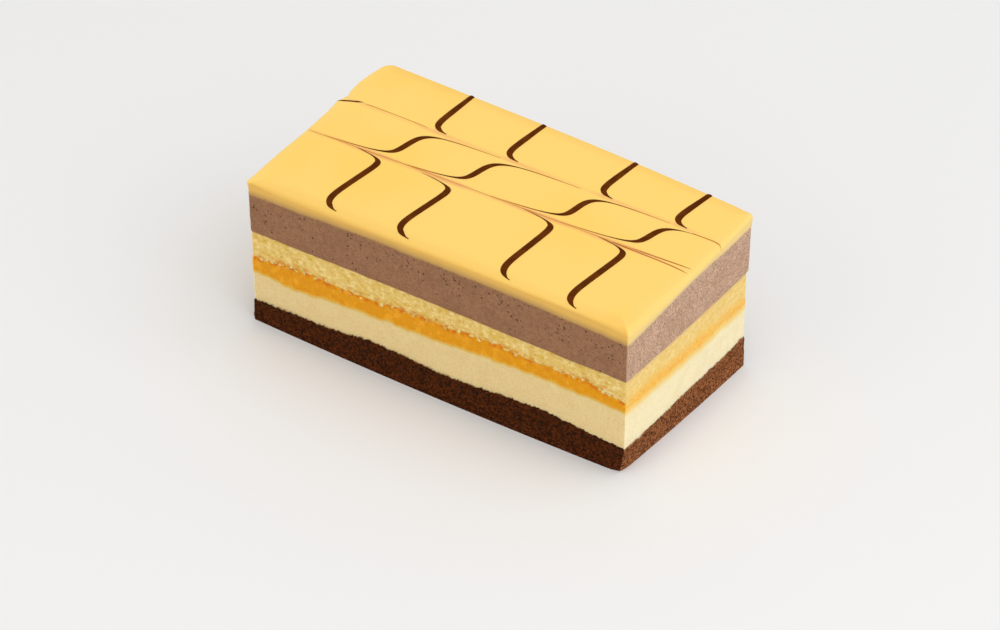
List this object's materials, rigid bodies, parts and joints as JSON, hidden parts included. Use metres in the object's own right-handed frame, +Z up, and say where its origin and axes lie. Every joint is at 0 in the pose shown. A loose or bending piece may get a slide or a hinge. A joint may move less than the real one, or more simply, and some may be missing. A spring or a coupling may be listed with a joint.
{
  "type": "nougat layer cake slice",
  "caption": "Oblong cut slice of layer cake: cocoa sponge, cream, fruit jam, light sponge and nougat mousse under a yellow glaze with feathered chocolate lines.",
  "frame": {"origin": "on the table, under the middle of the slice's outer box", "axes": "+X along the slice towards its right end, -Y out of the long front cut, +Z up"},
  "size_m": [0.1028, 0.053, 0.0418],
  "materials": {
    "cocoa_sponge": "dark open crumb, dull",
    "cream_filling": "smooth pale cream, soft sheen",
    "fruit_jam": "orange jam, wet and slightly clear",
    "light_sponge": "yellow open crumb, dull",
    "nougat_mousse": "fine airy mousse with pinholes, matt",
    "yellow_glaze": "smooth yellow glaze with dark brown chocolate lines, satin"
  },
  "bodies": {
    "root": {"cocoa_sponge": "cocoa_sponge", "cream_filling": "cream_filling", "fruit_jam": "fruit_jam", "light_sponge": "light_sponge", "nougat_mousse": "nougat_mousse", "yellow_glaze": "yellow_glaze"}
  },
  "joints": []
}
